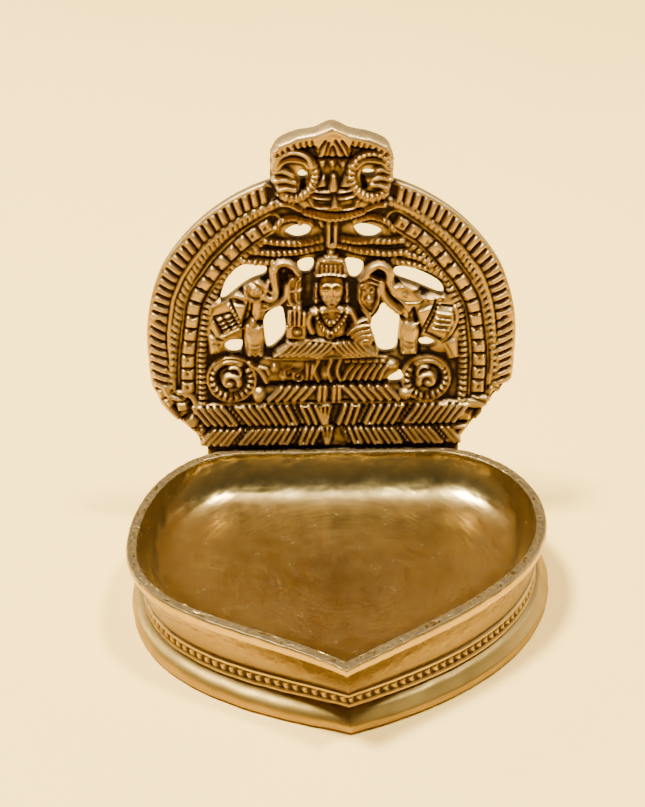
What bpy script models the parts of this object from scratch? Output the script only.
"""A cast brass diya: a leaf-shaped oil bowl on a beaded collar and a flared foot ring.

A pierced back plate with a relief leans behind the bowl, on a tang held by two screws.
The spout points along -Y, the plate stands at +Y, and the foot rests on Z = 0.
"""

import math

import bmesh
import bpy
from mathutils import Matrix, Vector

MM = 0.001
GAP = 0.3 * MM

# ---------------------------------------------------------------- bowl
BOWL_WIDTH = 90.0 * MM
SPOUT_REACH = 50.1 * MM  # from the widest line's origin to the spout's tip
REAR_REACH = 30.2 * MM  # to the flat rear of the rim, which the plate stands against
RIM_HEIGHT = 17.5 * MM
RIM_THICK = 2.4 * MM
LIP_HEIGHT = 1.4 * MM
FLOOR_TOP = 8.6 * MM
FLOOR_THICK = 2.3 * MM
INNER_SLOPE = 2.0 * MM  # how far the inner wall leans in before its fillet
INNER_FILLET = 5.2 * MM
NECK_INSET = 2.9 * MM  # how far the neck stands in from the rim at the sides
SPOUT_OVERHANG = 0.9 * MM  # how much further it stands in under the spout
SPIGOT_INSET = 2.2 * MM  # the step below the neck that drops into the collar
REAR_FLAT = 40.0 * MM  # width of the rim's straight rear

# ---------------------------------------------------------------- collar and foot
COLLAR_HEIGHT = 3.6 * MM
COLLAR_PROUD = 0.2 * MM
BEADS = 124
BEAD_DEPTH = 0.55 * MM
FOOT_WIDTH = 91.2 * MM
FOOT_REACH = 48.2 * MM
FOOT_REAR = 29.0 * MM
FOOT_ASIDE = 1.0 * MM  # how far the foot sits to the right of the bowl
FOOT_HEIGHT = 3.8 * MM
FOOT_EDGE = 1.6 * MM  # height of the crease round the foot
FOOT_SHOULDER = 3.2 * MM  # how far the foot's top stands in from its edge
FOOT_WALL = 3.0 * MM
FLANGE_WIDTH = 4.2 * MM

# ---------------------------------------------------------------- back plate
PLATE_THICK = 2.4 * MM
PLATE_LEAN = math.radians(8.0)
PLATE_GAP = 0.5 * MM
ARCH_CENTRE = Vector((-0.3, 22.0)) * MM
ARCH_RADIUS = 40.7 * MM  # at the height of the arch's centre
ARCH_SPREAD = 2.1 * MM  # how much larger the radius is over the upper part
RIB_BAND = 4.1 * MM
ROPE_INSET = 5.8 * MM
STUD_INSET = 8.9 * MM
INNER_ROPE_INSET = 12.0 * MM
ROPE_RADIUS = 0.9 * MM
STUD_WIDTH = 2.5 * MM
STUD_PITCH = 3.15 * MM
BAND_RELIEF = 1.2 * MM
FIGURE_RELIEF = 3.2 * MM
CREST_RELIEF = 2.6 * MM
BASE_RELIEF = 1.8 * MM
SUNK = 0.6 * MM  # how deep each raised shape is let into the plate

# ---------------------------------------------------------------- tang and screws
TANG_WIDTH = 57.0 * MM
TANG_DEPTH = 8.6 * MM
SCREW_SPACING = 36.0 * MM
SCREW_DROP = 5.0 * MM  # below the rim, along the plate
SCREW_RADIUS = 0.95 * MM
SCREW_HEAD_RADIUS = 2.2 * MM
SCREW_HEAD_HEIGHT = 1.2 * MM
SCREW_GRIP = 2.2 * MM  # length inside the boss
BOSS_RADIUS = 2.7 * MM
BOSS_ROOT = 2.6 * MM  # how far the boss runs into the bowl's rear wall

COLLAR_BOTTOM = FOOT_HEIGHT + GAP
COLLAR_TOP = COLLAR_BOTTOM + COLLAR_HEIGHT
NECK_BOTTOM = COLLAR_TOP + GAP
PLATE_FRONT = REAR_REACH + PLATE_GAP


def clear_scene():
    for item in list(bpy.data.objects):
        bpy.data.objects.remove(item, do_unlink=True)


def collection(name):
    group = bpy.data.collections.new(name)
    bpy.context.scene.collection.children.link(group)
    return group


def brass(name, colour, roughness):
    material = bpy.data.materials.new(name)
    material.use_nodes = True
    shader = material.node_tree.nodes["Principled BSDF"]
    shader.inputs["Base Color"].default_value = (*colour, 1.0)
    shader.inputs["Roughness"].default_value = roughness
    shader.inputs["Metallic"].default_value = 1.0
    return material


def add(name, mesh, group, material=None, smooth=35.0):
    item = bpy.data.objects.new(name, mesh)
    group.objects.link(item)
    if material:
        mesh.materials.append(material)
    if smooth:
        mesh.shade_smooth()
        mesh.set_sharp_from_angle(angle=math.radians(smooth))
    return item


def as_guide(item):
    item.hide_render = True
    item.display_type = "WIRE"
    return item


# ---------------------------------------------------------------- leaf outlines
class Leaf:
    """One horizontal outline of the lamp: a broad leaf with a point in front."""

    def __init__(self, half, tip, rear, widest, skew, nose, nose_pull, side_pull, aside=0.0):
        self.values = (half, tip, rear, widest, skew, nose, nose_pull, side_pull, aside)

    def mixed(self, other, share):
        pairs = zip(self.values, other.values)
        return Leaf(*(a + (b - a) * share for a, b in pairs))

    def inset(self, side, tip):
        half, reach, rear, widest, skew, nose, nose_pull, side_pull, aside = self.values
        small = (half - side) / half
        return Leaf(
            half - side,
            reach - tip,
            rear - side,
            widest,
            skew,
            nose,
            nose_pull * small,
            side_pull * small,
            aside,
        )

    def half_outline(self, sign, steps=64):
        """From the tip round one side to the middle of the rear."""
        half, reach, rear, widest, skew, nose, nose_pull, side_pull, aside = self.values
        broad = Vector((aside + sign * half, widest + sign * skew))
        tip = Vector((aside, -reach))
        corner = Vector((aside + sign * REAR_FLAT / 2, rear))
        lead = Vector((sign * math.sin(nose), math.cos(nose))) * nose_pull
        along = Vector((0.0, 1.0))
        reach_back = (rear - broad.y) * 0.5
        across = Vector((sign * (half - REAR_FLAT / 2) * 0.64, 0.0))
        front = bezier(tip, tip + lead, broad - along * side_pull, broad, steps)
        back = bezier(broad, broad + along * reach_back, corner + across, corner, steps)
        return front + back[1:] + [Vector((aside, rear))]

    def outline(self, count):
        """Evenly spaced points round the leaf, from the tip, seen from above."""
        right = self.half_outline(1)
        left = self.half_outline(-1)
        half = count // 2
        first = evenly(right, half)
        second = evenly(left, half)
        return first[:-1] + second[:0:-1]


def bezier(a, b, c, d, steps):
    points = []
    for i in range(steps + 1):
        t = i / steps
        s = 1.0 - t
        points.append(a * s**3 + b * 3 * s * s * t + c * 3 * s * t * t + d * t**3)
    return points


def evenly(points, steps):
    """steps + 1 points at equal distances along a line of points."""
    lengths = [0.0]
    for before, after in zip(points, points[1:]):
        lengths.append(lengths[-1] + (after - before).length)
    found = []
    k = 0
    for i in range(steps + 1):
        wanted = lengths[-1] * i / steps
        while k < len(points) - 2 and lengths[k + 1] < wanted:
            k += 1
        run = lengths[k + 1] - lengths[k]
        share = min(1.0, (wanted - lengths[k]) / run)
        found.append(points[k].lerp(points[k + 1], share))
    return found


RIM_LEAF = Leaf(
    half=BOWL_WIDTH / 2,
    tip=SPOUT_REACH,
    rear=REAR_REACH,
    widest=-1.9 * MM,
    skew=4.7 * MM,
    nose=math.radians(52.5),
    nose_pull=25.7 * MM,
    side_pull=24.5 * MM,
)
FOOT_LEAF = Leaf(
    half=FOOT_WIDTH / 2,
    tip=FOOT_REACH,
    rear=FOOT_REAR,
    widest=2.0 * MM,
    skew=3.6 * MM,
    nose=math.radians(71.0),
    nose_pull=15.6 * MM,
    side_pull=33.6 * MM,
    aside=FOOT_ASIDE,
)
SIDE_POINTS = 84


def leaf_at(height):
    return RIM_LEAF.mixed(FOOT_LEAF, 1.0 - height / RIM_HEIGHT)


def ring(height, side, tip=None, count=SIDE_POINTS):
    """The leaf at one height, set in by side at its flanks and by tip at its point."""
    tip = side * 1.35 if tip is None else tip
    outline = leaf_at(height).inset(side, tip).outline(count)
    return [Vector((p.x, p.y, height)) for p in outline]


def loft(rings, closed):
    """A skin through rings of equal length: a closed tube, or a body with flat ends."""
    work = bmesh.new()
    rows = [[work.verts.new(point) for point in points] for points in rings]
    count = len(rows[0])
    pairs = list(zip(rows, rows[1:]))
    if closed:
        pairs.append((rows[-1], rows[0]))
    for low, high in pairs:
        for i in range(count):
            j = (i + 1) % count
            work.faces.new((low[i], low[j], high[j], high[i]))
    if not closed:
        work.faces.new(rows[0][::-1])
        work.faces.new(rows[-1])
    bmesh.ops.recalc_face_normals(work, faces=work.faces)
    mesh = bpy.data.meshes.new("loft")
    work.to_mesh(mesh)
    work.free()
    return mesh


def bowl_mesh():
    lip_under = RIM_HEIGHT - LIP_HEIGHT
    edge = 0.4 * MM
    spigot = NECK_INSET + SPIGOT_INSET
    spigot_tip = NECK_INSET + SPOUT_OVERHANG + SPIGOT_INSET * 1.35
    rings = [ring(FLOOR_TOP - FLOOR_THICK, spigot, spigot_tip)]
    rings.append(ring(NECK_BOTTOM, spigot, spigot_tip))
    steps = 6
    for i in range(steps + 1):
        bend = math.sin(math.pi / 2 * (steps - i) / steps)
        height = NECK_BOTTOM + (lip_under - NECK_BOTTOM) * i / steps
        rings.append(ring(height, NECK_INSET * bend, (NECK_INSET + SPOUT_OVERHANG) * bend))
    rings.append(ring(RIM_HEIGHT - edge, 0.0, 0.0))
    rings.append(ring(RIM_HEIGHT, edge))
    rings.append(ring(RIM_HEIGHT, RIM_THICK - edge))
    rings.append(ring(RIM_HEIGHT - edge, RIM_THICK))
    turn = 6
    for i in range(turn + 1):
        angle = math.pi / 2 * i / turn
        side = RIM_THICK + INNER_SLOPE + INNER_FILLET * (1 - math.cos(angle))
        rings.append(ring(FLOOR_TOP + INNER_FILLET * (1 - math.sin(angle)), side))
    return loft(rings, closed=False)


def collar_mesh():
    """A ring with a row of beads round it, between two plain ledges."""
    count = BEADS * 2
    outer = NECK_INSET - COLLAR_PROUD
    outer_tip = outer + SPOUT_OVERHANG
    inner = NECK_INSET + SPIGOT_INSET - 1.2 * GAP
    inner_tip = NECK_INSET + SPOUT_OVERHANG + SPIGOT_INSET * 1.35 - 1.6 * GAP
    ledge = COLLAR_HEIGHT * 0.2
    low, high = COLLAR_BOTTOM, COLLAR_TOP
    valley = ring((low + high) / 2, outer + BEAD_DEPTH, outer_tip + BEAD_DEPTH, count)
    crown = ring((low + high) / 2, outer, outer_tip, count)
    beaded = [crown[i] if i % 2 else valley[i] for i in range(count)]
    rings = [
        ring(low, inner, inner_tip, count),
        ring(low, outer, outer_tip, count),
        ring(low + ledge, outer, outer_tip, count),
        ring(low + ledge, outer + BEAD_DEPTH, outer_tip + BEAD_DEPTH, count),
        beaded,
        ring(high - ledge, outer + BEAD_DEPTH, outer_tip + BEAD_DEPTH, count),
        ring(high - ledge, outer, outer_tip, count),
        ring(high, outer, outer_tip, count),
        ring(high, inner, inner_tip, count),
    ]
    return loft(rings, closed=True)


def foot_mesh():
    """A flared ring, hollow below, with a flange that carries the collar."""
    round_off = 0.35 * MM
    shoulder_tip = FOOT_SHOULDER + SPOUT_OVERHANG
    flange_low = FOOT_HEIGHT - 1.6 * MM
    rings = [
        ring(0.0, FOOT_WALL),
        ring(0.0, round_off),
        ring(round_off, 0.0),
        ring(FOOT_EDGE, 0.0),
        ring(FOOT_EDGE + round_off, round_off),
        ring(FOOT_HEIGHT - round_off, FOOT_SHOULDER - round_off, shoulder_tip - round_off),
        ring(FOOT_HEIGHT, FOOT_SHOULDER, shoulder_tip),
        ring(FOOT_HEIGHT, FOOT_SHOULDER + FLANGE_WIDTH),
        ring(flange_low, FOOT_SHOULDER + FLANGE_WIDTH),
        ring(flange_low - 0.5 * MM, FOOT_SHOULDER + FOOT_WALL),
    ]
    return loft(rings, closed=True)


# ---------------------------------------------------------------- plate drawing
# The plate is drawn flat, x across and y up from the rim, with z out of its front face,
# and is then stood up and leaned back behind the bowl.
def stand(shift=Vector((0.0, 0.0, 0.0))):
    place = Matrix.Translation(Vector((0.0, PLATE_FRONT, RIM_HEIGHT)) + shift)
    return place @ Matrix.Rotation(math.pi / 2 - PLATE_LEAN, 4, "X")


def curve_mesh(curve):
    """The mesh of a curve with its caps welded on."""
    item = bpy.data.objects.new("drawn", curve)
    bpy.context.scene.collection.objects.link(item)
    bpy.context.view_layer.update()
    evaluated = item.evaluated_get(bpy.context.evaluated_depsgraph_get())
    mesh = bpy.data.meshes.new_from_object(evaluated)
    bpy.data.objects.remove(item, do_unlink=True)
    bpy.data.curves.remove(curve)
    work = bmesh.new()
    work.from_mesh(mesh)
    bmesh.ops.remove_doubles(work, verts=work.verts, dist=0.00001)
    bmesh.ops.recalc_face_normals(work, faces=work.faces)
    work.to_mesh(mesh)
    work.free()
    return mesh


def flat(points, low, high):
    """A flat outline given a thickness, from low to high above the plate's front."""
    curve = bpy.data.curves.new("flat", "CURVE")
    curve.dimensions = "2D"
    curve.fill_mode = "BOTH"
    curve.extrude = (high - low) / 2
    spline = curve.splines.new("POLY")
    spline.points.add(len(points) - 1)
    for slot, point in zip(spline.points, points):
        slot.co = (point[0], point[1], 0.0, 1.0)
    spline.use_cyclic_u = True
    mesh = curve_mesh(curve)
    mesh.transform(Matrix.Translation((0.0, 0.0, (high + low) / 2)))
    return mesh


def rod(points, radius, height=0.0):
    """A round bar along a line of points on the plate."""
    curve = bpy.data.curves.new("rod", "CURVE")
    curve.dimensions = "3D"
    curve.bevel_depth = radius
    curve.bevel_resolution = 1
    curve.use_fill_caps = True
    spline = curve.splines.new("POLY")
    spline.points.add(len(points) - 1)
    for slot, point in zip(spline.points, points):
        slot.co = (point[0], point[1], height, 1.0)
    return curve_mesh(curve)


def dome(centre, radii, height=0.0, segments=14):
    work = bmesh.new()
    bmesh.ops.create_uvsphere(work, u_segments=segments, v_segments=8, radius=1.0)
    scale = Matrix.Diagonal((radii[0], radii[1], radii[2], 1.0))
    work.transform(Matrix.Translation((centre[0], centre[1], height)) @ scale)
    mesh = bpy.data.meshes.new("dome")
    work.to_mesh(mesh)
    work.free()
    return mesh


def in_mm(*pairs):
    return [(x * MM, y * MM) for x, y in pairs]


def arch_point(angle, inset):
    """A point of the arch, at an angle above its centre's level, in from its edge."""
    spread = ARCH_SPREAD * min(1.0, max(0.0, math.sin(angle)) * 2.0)
    radius = ARCH_RADIUS + spread - inset
    return (
        ARCH_CENTRE.x + radius * math.cos(angle),
        ARCH_CENTRE.y + radius * math.sin(angle),
    )


def arch_run(first, last, inset, steps):
    """Points along the arch from one angle in degrees to another."""
    angles = [math.radians(first + (last - first) * i / steps) for i in range(steps + 1)]
    return [arch_point(angle, inset) for angle in angles]


CREST_RIGHT = in_mm((13.0, 68.2), (11.6, 71.2), (8.0, 73.0), (3.6, 74.0))
CREST_LEFT = in_mm((-4.0, 74.1), (-8.0, 73.4), (-11.7, 71.7), (-13.4, 69.0))
CREST_TIP = in_mm((-0.2, 75.6))
LEFT_SHOULDER = in_mm((-39.6, 14.2), (-38.6, 11.6), (-36.6, 9.2), (-33.8, 6.3), (-30.6, 3.2))
RIGHT_SHOULDER = in_mm((28.9, 2.2), (30.9, 5.0), (33.3, 8.3), (35.8, 11.9), (38.3, 14.8))
CREST_CUT = 72.0  # degrees up the arch where the crest's sides meet it
RELIEF_FOOT = 0.5 * MM  # how far above the rim the relief starts

WINDOWS = {
    "lens_left": ((-11, 51), (-9, 52.6), (-6.5, 52.9), (-4.3, 52.3), (-5.2, 50.2), (-8, 49.4)),
    "lens_right": ((4, 52.4), (7, 53), (10, 52), (11, 50.8), (9, 49.4), (6, 49.6)),
    "head_left": ((-8, 44.2), (-6.5, 45.1), (-4.2, 45.3), (-4.1, 43), (-5.4, 41.4), (-7.2, 41.6)),
    "head_right": ((2.4, 45.3), (6.8, 44.5), (6.6, 41.5), (5.1, 39.9), (3.6, 40.4), (3, 43)),
    "long_left": ((-20, 44), (-14.3, 43.5), (-14.6, 41.2), (-18.6, 40), (-25.4, 34.2), (-23.4, 41)),
    "long_right": ((13.2, 43), (17, 42.7), (21, 41), (24, 39), (24.8, 35.6), (17.6, 39), (13.4, 40.4)),
    "window_left": ((-15.5, 32), (-11.2, 34.6), (-10.6, 31), (-10.4, 27), (-14.6, 23), (-15.2, 27)),
    "window_right": (
        (7.8, 30.3), (10, 32.3), (10.6, 34.4), (12, 34.2), (15, 31.4),
        (14.5, 27), (14.2, 22.8), (10.2, 22.5), (9.2, 26),
    ),
    "small_left": ((-24.4, 25.2), (-23.3, 26.7), (-20.4, 26.7), (-20, 25), (-20.6, 22.9), (-23.5, 22.9)),
    "small_right": ((18.9, 25.4), (20.5, 26.7), (23.4, 25.4), (22, 23.8), (19.6, 23.9)),
    "heart": ((12, 16.8), (13.5, 17.8), (15, 18.5), (16, 17.3), (15.6, 15.5), (14.2, 15.2), (12.5, 15.2)),
    "crest_left": ((-8, 64.7), (-7, 65.9), (-5.3, 65.1), (-5.4, 63.4), (-7.2, 63.2)),
    "crest_right": ((6, 65.2), (7.2, 65.9), (9.8, 65.5), (9, 63.9), (6.5, 63.8)),
}


def plate_outline():
    tang = TANG_WIDTH / 2
    corner = 1.5 * MM
    low = [(-tang, 0.0), (-tang, corner - TANG_DEPTH), (corner - tang, -TANG_DEPTH)]
    low += [(tang - corner, -TANG_DEPTH), (tang, corner - TANG_DEPTH), (tang, 0.0)]
    low.append((tang + 0.4 * MM, RELIEF_FOOT))
    right = arch_run(-8, CREST_CUT, 0.0, 22)
    left = arch_run(180 - CREST_CUT, 189, 0.0, 22)
    foot = [(-tang - 1.1 * MM, RELIEF_FOOT)]
    crest = CREST_RIGHT + CREST_TIP + CREST_LEFT
    return low + RIGHT_SHOULDER + right + crest + left + LEFT_SHOULDER + foot


def arch_band(first, last, near, far, height, steps=30):
    outer = arch_run(first, last, near, steps)
    inner = arch_run(last, first, far, steps)
    return flat(outer + inner, -SUNK, height)


def studs():
    """Square studs along both sides of the arch."""
    radius = ARCH_RADIUS + ARCH_SPREAD - STUD_INSET
    step = math.degrees(STUD_PITCH / radius)
    wide = math.degrees(STUD_WIDTH / radius) / 2
    half = STUD_WIDTH / 2
    shapes = []
    for k in range(13):
        middle = -11.5 + k * step
        for centre in (middle, 180 - middle):
            ends = (centre - wide, centre + wide)
            outer = arch_run(*ends, STUD_INSET - half, 1)
            inner = arch_run(*ends[::-1], STUD_INSET + half, 1)
            shapes.append(flat(outer + inner, -SUNK, BAND_RELIEF))
    return shapes


def border():
    shapes = [
        arch_band(-13, 70, 0.4 * MM, RIB_BAND, BAND_RELIEF),
        arch_band(110, 194, 0.4 * MM, RIB_BAND, BAND_RELIEF),
        rod(arch_run(-12, 68, ROPE_INSET, 26), ROPE_RADIUS, 0.2 * MM),
        rod(arch_run(112, 193, ROPE_INSET, 26), ROPE_RADIUS, 0.2 * MM),
        rod(arch_run(-14, 50, INNER_ROPE_INSET, 20), ROPE_RADIUS, 0.1 * MM),
        rod(arch_run(130, 195, INNER_ROPE_INSET, 20), ROPE_RADIUS, 0.1 * MM),
    ]
    left = in_mm((-38.2, 13.4), (-31.0, 13.6), (-29.8, 10.5), (-29.8, 3.4), (-33.4, 6.9), (-36.2, 9.8))
    right = in_mm((37.0, 14.2), (31.0, 13.4), (29.4, 10.5), (29.2, 3.6), (30.6, 5.6), (32.9, 8.8))
    shapes.append(flat(left, -SUNK, BASE_RELIEF))
    shapes.append(flat(right, -SUNK, BASE_RELIEF))
    return shapes


def crest():
    face = in_mm((12.2, 64), (11.5, 60.5), (8, 57.5), (4, 54.6), (0, 53.6), (-4, 54.4), (-8, 57))
    face += in_mm((-12, 60), (-12.4, 64)) + CREST_LEFT[::-1] + CREST_TIP + CREST_RIGHT[::-1]
    shapes = [flat([(x * 0.97, y - 0.5 * MM) for x, y in face], -SUNK, CREST_RELIEF)]
    for sign in (-1, 1):
        eye = (sign * 8.0 * MM, 65.6 * MM)
        shapes.append(dome(eye, (4.1 * MM, 3.4 * MM, 1.9 * MM), CREST_RELIEF - 0.4 * MM))
        cheek = (sign * 2.9 * MM, 58.6 * MM)
        shapes.append(dome(cheek, (1.7 * MM, 2.2 * MM, 1.4 * MM), CREST_RELIEF - 0.2 * MM, 10))
    nose = (0.0, 60.6 * MM)
    shapes.append(dome(nose, (1.5 * MM, 3.0 * MM, 1.8 * MM), CREST_RELIEF - 0.2 * MM, 10))
    brow = in_mm((-2.8, 67.5), (2.8, 67.5), (3.4, 71.5), (0, 73.2), (-3.4, 71.5))
    shapes.append(flat(brow, 0.0, CREST_RELIEF + 0.9 * MM))
    jaw = in_mm((-9.5, 57.9), (-6, 56.2), (-3, 55.2), (0, 54.9), (3, 55.2), (6, 56.2), (9.5, 57.9))
    shapes.append(rod(jaw, 1.0 * MM, CREST_RELIEF - 0.2 * MM))
    shapes.append(rod(in_mm((0, 55), (-0.2, 48.6)), 1.4 * MM, 0.4 * MM))
    return shapes


def swags():
    """Beaded swags that cross the opening of the arch above the figure."""
    lines = (
        in_mm((-21, 46.6), (-15, 47.4), (-9, 48.1), (-4, 48.6), (-1.0, 50.2)),
        in_mm((20, 46.6), (14, 47.4), (8, 48.1), (4, 48.8), (0.8, 50.2)),
        in_mm((-22, 45.0), (-15, 45.6), (-9, 46.2), (-5, 46.9)),
        in_mm((22, 44.2), (15, 45.0), (9, 46.2), (4.6, 46.9)),
        in_mm((-20, 53.0), (-14, 54.4), (-9.5, 54.8), (-5, 53.6)),
        in_mm((20, 52.6), (14, 54.2), (9.5, 54.8), (5, 53.6)),
    )
    return [rod(line, 0.75 * MM, 0.3 * MM) for line in lines]


def ball(x, y, wide, tall, height=0.0, deep=FIGURE_RELIEF):
    return dome((x * MM, y * MM), (wide * MM, tall * MM, deep - height), height)


def figure():
    """The seated figure: head, crown, trunk, crossed legs, hands and two lotus buds."""
    deep = FIGURE_RELIEF
    return [
        ball(-0.4, 38.8, 2.9, 3.5, 0.3 * MM),
        ball(-0.4, 43.4, 2.7, 2.6, 0.2 * MM, deep - 0.6 * MM),
        ball(-0.6, 31.0, 3.8, 4.8, 0.0, deep - 0.5 * MM),
        ball(-4.8, 35.0, 1.6, 1.7, 0.0, deep - 1.0 * MM),
        ball(3.8, 35.0, 1.6, 1.7, 0.0, deep - 1.0 * MM),
        ball(-7.0, 24.3, 6.2, 1.9, 0.0, deep - 0.7 * MM),
        ball(4.4, 24.0, 5.4, 1.9, 0.0, deep - 0.7 * MM),
        rod(in_mm((-8.0, 26.2), (-8.1, 30.0), (-8.3, 34.4)), 1.5 * MM, 0.6 * MM),
        ball(-8.3, 38.6, 2.0, 3.0, 0.0, deep - 1.0 * MM),
        ball(7.6, 37.8, 2.3, 3.6, 0.0, deep - 1.0 * MM),
        ball(6.0, 27.4, 2.4, 3.0, 0.0, deep - 0.6 * MM),
    ]


def elephant(sign):
    """One elephant, facing the figure with its trunk raised."""
    m = sign
    trunk = in_mm((15.8 * m, 37.6), (14.0 * m, 36.6), (12.2 * m, 38.0), (12.2 * m, 41.0))
    trunk += in_mm((10.8 * m, 43.2), (8.8 * m, 43.2), (7.8 * m, 41.6))
    return [
        ball(17.2 * m, 37.6, 2.6, 2.4, 0.2 * MM, FIGURE_RELIEF - 0.3 * MM),
        ball(20.6 * m, 32.4, 5.8, 4.6, 0.0, FIGURE_RELIEF - 0.8 * MM),
        rod(in_mm((17.6 * m, 32), (17.4 * m, 22.4)), 1.8 * MM, 0.3 * MM),
        rod(in_mm((25.6 * m, 32), (25.8 * m, 22.4)), 1.5 * MM, 0.2 * MM),
        rod(trunk, 1.15 * MM, 0.5 * MM),
    ]


def base():
    """The seat, its scrolled ends, and the two rows of petals under it."""
    left = -TANG_WIDTH / 2 - 0.9 * MM
    right = TANG_WIDTH / 2 + 0.2 * MM
    low, middle, high = RELIEF_FOOT, 5.2 * MM, 10.4 * MM
    lower_row = [(left, low), (right, low), (right, middle - GAP), (left, middle - GAP)]
    upper_row = [(left, middle + GAP), (right, middle + GAP), (right, high), (left, high)]
    shapes = [
        flat(lower_row, -SUNK, BASE_RELIEF),
        flat(upper_row, -SUNK, BASE_RELIEF - 0.2 * MM),
        flat(in_mm((-15.6, 11.2), (14.8, 11.2), (12, 15.2), (-14, 15.2)), -SUNK, BASE_RELIEF),
        flat(in_mm((-14.6, 16), (11.8, 16), (12.4, 22), (-15.2, 22)), -SUNK, BASE_RELIEF - 0.3 * MM),
        ball(-17.0, 13.3, 1.5, 2.1, 0.0, 2.4 * MM),
        ball(16.2, 13.1, 1.5, 1.6, 0.0, 2.4 * MM),
    ]
    for x, y in ((-22.6, 17.0), (21.2, 16.6)):
        turn = [math.radians(20 * k) for k in range(19)]
        ring_line = [((x + 4.3 * math.cos(a)) * MM, (y + 4.3 * math.sin(a)) * MM) for a in turn]
        shapes.append(rod(ring_line, 1.1 * MM, 0.6 * MM))
        shapes.append(ball(x, y - 0.4, 2.4, 2.4, 0.0, 2.0 * MM))
    return shapes


def boolean(item, operand, operation):
    change = item.modifiers.new(operand.name, "BOOLEAN")
    change.operation = operation
    change.solver = "EXACT"
    change.operand_type = "COLLECTION"
    change.collection = operand


def back_plate(parts, relief, cutters, material):
    item = add("back_plate", flat(plate_outline(), -PLATE_THICK, 0.0), parts, material, 40)
    item.matrix_world = stand()
    shapes = border() + crest() + swags() + figure() + elephant(-1) + elephant(1) + base() + studs()
    for number, mesh in enumerate(shapes):
        as_guide(add(f"relief_{number}", mesh, relief, smooth=None)).matrix_world = stand()
    through = 2 * FIGURE_RELIEF + PLATE_THICK
    for name, points in WINDOWS.items():
        mesh = flat(in_mm(*points), -through, through)
        as_guide(add(f"cut_{name}", mesh, cutters, smooth=None)).matrix_world = stand()
    return item


def turned(profile, name):
    """A profile of (radius, height) turned about Z, top to bottom on its outer side."""
    work = bmesh.new()
    for radius, height in profile:
        work.verts.new((radius, 0.0, height))
    work.verts.ensure_lookup_table()
    for i in range(len(profile) - 1):
        work.edges.new((work.verts[i], work.verts[i + 1]))
    mesh = bpy.data.meshes.new(name)
    work.to_mesh(mesh)
    work.free()
    return mesh


def add_turned(name, profile, group, material=None):
    item = add(name, turned(profile, name), group, material, smooth=None)
    screw = item.modifiers.new("turn", "SCREW")
    screw.axis = "Z"
    screw.steps = 20
    screw.render_steps = 20
    screw.use_merge_vertices = True
    screw.merge_threshold = 0.00001
    screw.use_smooth_shade = False
    return item


def cylinder_profile(radius, low, high):
    return [(0.0, high), (radius, high), (radius, low), (0.0, low)]


def screw_place(sign):
    """On the plate's front plane at a screw, with local Z out of the front."""
    spot = Matrix.Translation((sign * SCREW_SPACING / 2, -SCREW_DROP, 0.0))
    return stand() @ spot


def fastenings(parts, bosses, cutters, material):
    back = -PLATE_THICK - GAP
    head = back - SCREW_HEAD_HEIGHT
    end = GAP + SCREW_GRIP
    crown = 0.35 * MM
    for sign, side in ((-1, "left"), (1, "right")):
        profile = [
            (0.0, end),
            (SCREW_RADIUS, end),
            (SCREW_RADIUS, back),
            (SCREW_HEAD_RADIUS, back),
            (SCREW_HEAD_RADIUS, head + crown),
            (SCREW_HEAD_RADIUS - crown, head),
            (0.0, head),
        ]
        item = add_turned(f"plate_screw_{side}", profile, parts, material)
        item.matrix_world = screw_place(sign)
        boss = cylinder_profile(BOSS_RADIUS, GAP, GAP + BOSS_ROOT)
        as_guide(add_turned(f"boss_{side}", boss, bosses)).matrix_world = screw_place(sign)
        hole = cylinder_profile(SCREW_RADIUS + GAP, head, end + GAP)
        as_guide(add_turned(f"screw_hole_{side}", hole, cutters)).matrix_world = screw_place(sign)


def centre(items):
    """Moves everything so that the lamp's box stands centred on the origin."""
    bpy.context.view_layer.update()
    graph = bpy.context.evaluated_depsgraph_get()
    corners = []
    for item in items:
        seen = item.evaluated_get(graph)
        corners += [seen.matrix_world @ vertex.co for vertex in seen.data.vertices]
    middle = [(min(c[i] for c in corners) + max(c[i] for c in corners)) / 2 for i in (0, 1)]
    shift = Matrix.Translation((-middle[0], -middle[1], 0.0))
    for item in bpy.data.objects:
        item.matrix_world = shift @ item.matrix_world


def build():
    clear_scene()
    parts = collection("leaf_diya_lamp")
    relief = collection("plate_relief")
    windows = collection("plate_windows")
    bosses = collection("bowl_bosses")
    holes = collection("screw_holes")
    bowl_brass = brass("bowl_brass", (0.62, 0.43, 0.17), 0.34)
    foot_brass = brass("foot_brass", (0.60, 0.45, 0.22), 0.36)
    collar_brass = brass("collar_brass", (0.50, 0.36, 0.17), 0.45)
    plate_brass = brass("plate_brass", (0.48, 0.31, 0.11), 0.42)
    screw_brass = brass("screw_brass", (0.55, 0.40, 0.18), 0.40)

    bowl = add("oil_bowl", bowl_mesh(), parts, bowl_brass)
    collar = add("beaded_collar", collar_mesh(), parts, collar_brass)
    foot = add("foot_ring", foot_mesh(), parts, foot_brass)
    plate = back_plate(parts, relief, windows, plate_brass)
    fastenings(parts, bosses, holes, screw_brass)
    boolean(bowl, bosses, "UNION")
    boolean(bowl, holes, "DIFFERENCE")
    boolean(plate, relief, "UNION")
    boolean(plate, windows, "DIFFERENCE")
    boolean(plate, holes, "DIFFERENCE")
    screws = [bpy.data.objects[f"plate_screw_{side}"] for side in ("left", "right")]
    centre([bowl, collar, foot, plate] + screws)


build()
